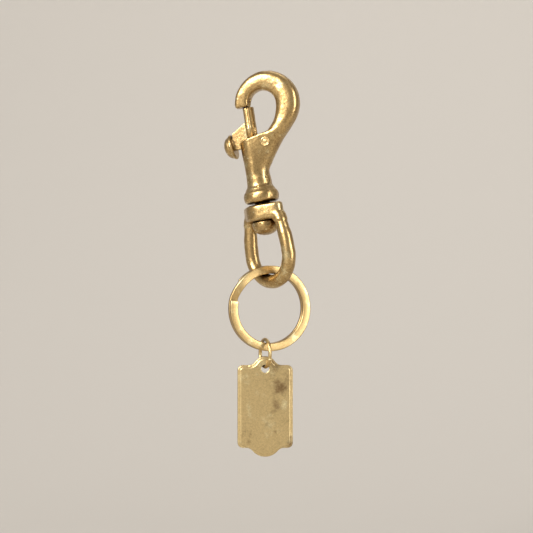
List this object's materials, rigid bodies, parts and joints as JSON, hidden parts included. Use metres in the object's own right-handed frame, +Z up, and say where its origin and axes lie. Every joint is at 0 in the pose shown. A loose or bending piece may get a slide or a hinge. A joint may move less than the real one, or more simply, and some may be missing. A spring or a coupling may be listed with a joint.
{
  "type": "swivel snap hook",
  "caption": "Cast brass swivel snap hook: a spring bolt closes its bow, and a split ring and a plain tag hang from its swivel eye.",
  "frame": {"origin": "top of the round seat inside the bow, where the hook rests on whatever it hangs on", "axes": "+Z up, against gravity; the hook's bow, barrel and bolt lie in the XZ plane, with the thumb button towards -X; the hook leans 8.9 degrees in that plane, as it hangs"},
  "size_m": [0.0288, 0.0197, 0.135],
  "materials": {
    "cast_brass": "tumbled cast brass with a brown patina",
    "bolt_brass": "tumbled cast brass with a brown patina",
    "spring_steel": "drawn spring wire",
    "eye_brass": "tumbled cast brass with a brown patina",
    "ring_brass": "rolled brass strip, lightly tarnished",
    "wire_brass": "drawn brass wire",
    "tag_brass": "satin brass plate with patina stains"
  },
  "bodies": {
    "hook": {"hook_body": "cast_brass", "bolt_spring": "spring_steel"},
    "bolt": {"bolt": "bolt_brass"},
    "eye": {"swivel_eye": "eye_brass"},
    "ring": {"split_ring": "ring_brass"},
    "jump": {"jump_ring": "wire_brass"},
    "tag": {"tag": "tag_brass"}
  },
  "joints": [
    {"name": "bolt_slide", "type": "slide", "parent": "hook", "child": "bolt", "axis": [0.1547, 0, -0.988], "range_m": [0, 0.0104], "stiffness_N_per_m": 350, "springref_m": -0.004, "deforming": ["bolt_spring"]},
    {"name": "eye_swivel", "type": "hinge", "parent": "hook", "child": "eye", "pos_m": [0.00036, 0, -0.0427], "axis": [-0.1547, 0, 0.988], "continuous": true},
    {"name": "ring_swing", "type": "hinge", "parent": "eye", "child": "ring", "pos_m": [0.00205, 0.00134, -0.06681], "axis": [0.8404, -0.5261, -0.1301], "range_deg": [-75, 75]},
    {"name": "jump_swing", "type": "hinge", "parent": "ring", "child": "jump", "pos_m": [0.00071, 0.00036, -0.08973], "axis": [0.803, 0.5834, -0.1219], "range_deg": [-75, 75]},
    {"name": "tag_swing", "type": "hinge", "parent": "jump", "child": "tag", "pos_m": [0.00071, 0.00036, -0.09675], "axis": [-0.5878, 0.809, 0], "range_deg": [-35, 35]}
  ]
}
